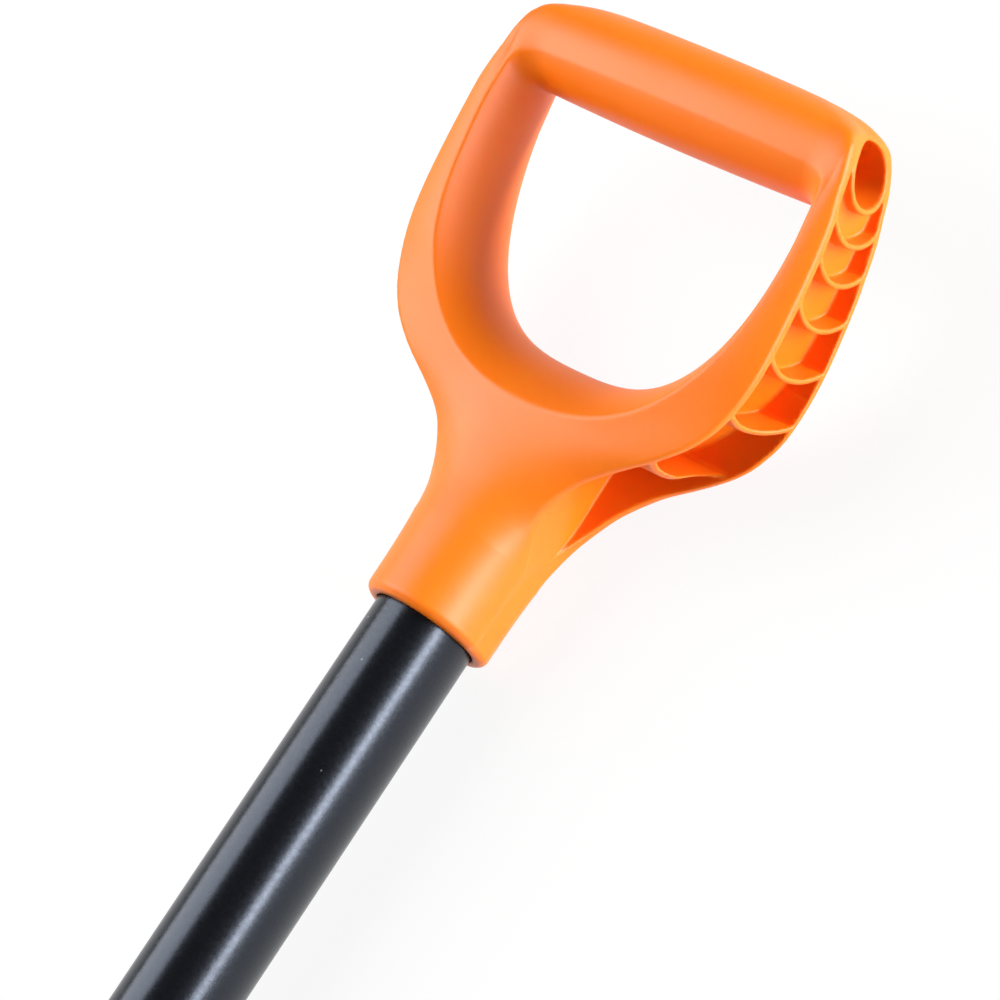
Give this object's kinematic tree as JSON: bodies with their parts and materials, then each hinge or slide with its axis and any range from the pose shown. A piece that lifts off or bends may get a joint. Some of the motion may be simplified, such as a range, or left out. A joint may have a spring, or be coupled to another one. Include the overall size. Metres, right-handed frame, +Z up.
{
  "type": "snow pusher",
  "caption": "Snow pusher with a canted D-grip, an oval shaft and a wide curved blade with a riveted steel wear edge.",
  "frame": {"origin": "middle of the bounding box's lowest face: the tool lies on its back, blade front up", "axes": "+Y along the shaft from the blade to the grip, +X across the blade, +Z up, the side that the blade's and the grip's fronts face"},
  "size_m": [0.53, 1.5204, 0.1158],
  "materials": {
    "grip": "satin moulded polypropylene, signal orange",
    "shaft": "satin powder coat on aluminium tube, near-black with a cool cast",
    "blade": "satin moulded polypropylene, black",
    "wear_edge": "rolled and galvanised steel strip",
    "rivet": "plain aluminium, set rivets and washers",
    "zinc": "bright zinc-plated steel fasteners",
    "core": "plain moulded nylon"
  },
  "bodies": {
    "root": {"d_grip": "grip", "grip_screw": "zinc", "shaft_tube": "shaft", "shaft_core": "core", "blade": "blade", "wear_edge": "wear_edge", "wear_rivet_1": "rivet", "wear_washer_1": "rivet", "wear_rivet_2": "rivet", "wear_washer_2": "rivet", "wear_rivet_3": "rivet", "wear_washer_3": "rivet", "wear_rivet_4": "rivet", "wear_washer_4": "rivet", "wear_rivet_5": "rivet", "wear_washer_5": "rivet", "wear_rivet_6": "rivet", "wear_washer_6": "rivet", "wear_rivet_7": "rivet", "wear_washer_7": "rivet", "wear_rivet_8": "rivet", "wear_washer_8": "rivet", "socket_bolt_1": "zinc", "bolt_washer_head_1": "zinc", "bolt_washer_nut_1": "zinc", "socket_nut_1": "zinc", "socket_bolt_2": "zinc", "bolt_washer_head_2": "zinc", "bolt_washer_nut_2": "zinc", "socket_nut_2": "zinc"}
  },
  "joints": []
}
